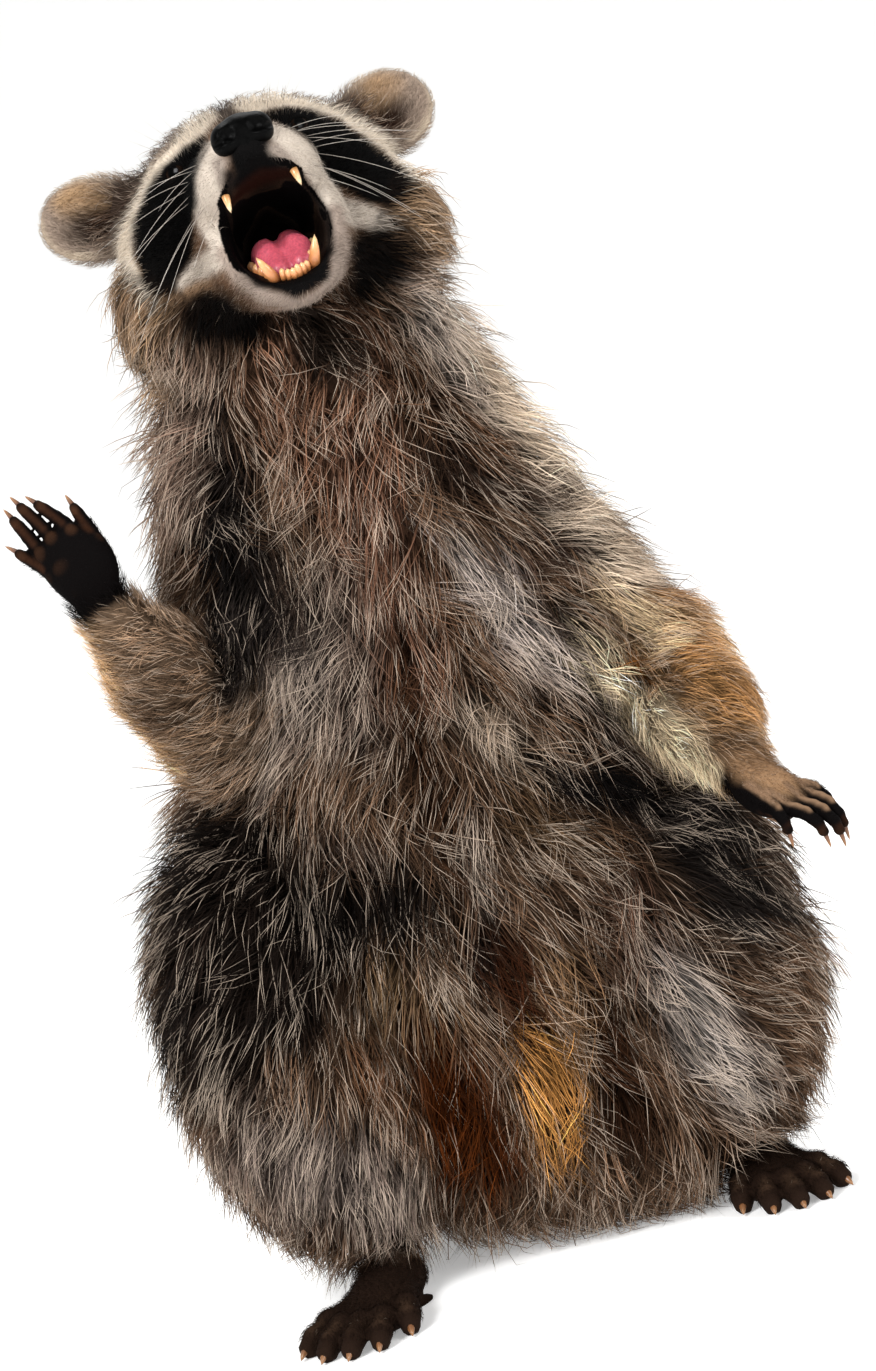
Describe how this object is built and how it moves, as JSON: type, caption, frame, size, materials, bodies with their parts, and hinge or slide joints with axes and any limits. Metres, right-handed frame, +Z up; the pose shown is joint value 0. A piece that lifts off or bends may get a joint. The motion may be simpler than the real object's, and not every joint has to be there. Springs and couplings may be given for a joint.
{
  "type": "raccoon",
  "caption": "Life-size raccoon as a still model: it sits upright on its rump and hind feet, head raised, mouth wide open, one hand lifted and the other on its thigh.",
  "frame": {"origin": "on the floor, under the middle of the bounding box", "axes": "+Z up, the animal faces -Y, its left side is +X"},
  "size_m": [0.316, 0.4108, 0.5251],
  "materials": {
    "coat": "grizzled tan, brown and grey fur with a black mask",
    "ear": "short pale fur with a cream rim",
    "paw": "dark bare pads and short dark fur",
    "claw": "amber-brown horn",
    "eye": "dark brown, glossy and wet",
    "nose": "black, fine-grained and moist",
    "tongue": "pink, moist and finely rough"
  },
  "bodies": {
    "root": {"eye_right": "eye", "eye_left": "eye", "nose": "nose", "tongue": "tongue", "head": "coat", "lower_jaw": "coat", "ear_right": "ear", "hand_right": "paw", "claw_hand_right_1": "claw", "claw_hand_right_2": "claw", "claw_hand_right_3": "claw", "claw_hand_right_4": "claw", "claw_hand_right_5": "claw", "foot_right": "paw", "claw_foot_right_1": "claw", "claw_foot_right_2": "claw", "claw_foot_right_3": "claw", "claw_foot_right_4": "claw", "claw_foot_right_5": "claw", "forearm_right": "coat", "lower_leg_right": "coat", "ear_left": "ear", "hand_left": "paw", "claw_hand_left_1": "claw", "claw_hand_left_2": "claw", "claw_hand_left_3": "claw", "claw_hand_left_4": "claw", "claw_hand_left_5": "claw", "foot_left": "paw", "claw_foot_left_1": "claw", "claw_foot_left_2": "claw", "claw_foot_left_3": "claw", "claw_foot_left_4": "claw", "claw_foot_left_5": "claw", "forearm_left": "coat", "lower_leg_left": "coat", "trunk": "coat", "thigh_right": "coat", "upper_arm_right": "coat", "thigh_left": "coat", "upper_arm_left": "coat", "neck": "coat", "tail": "coat"}
  },
  "joints": []
}
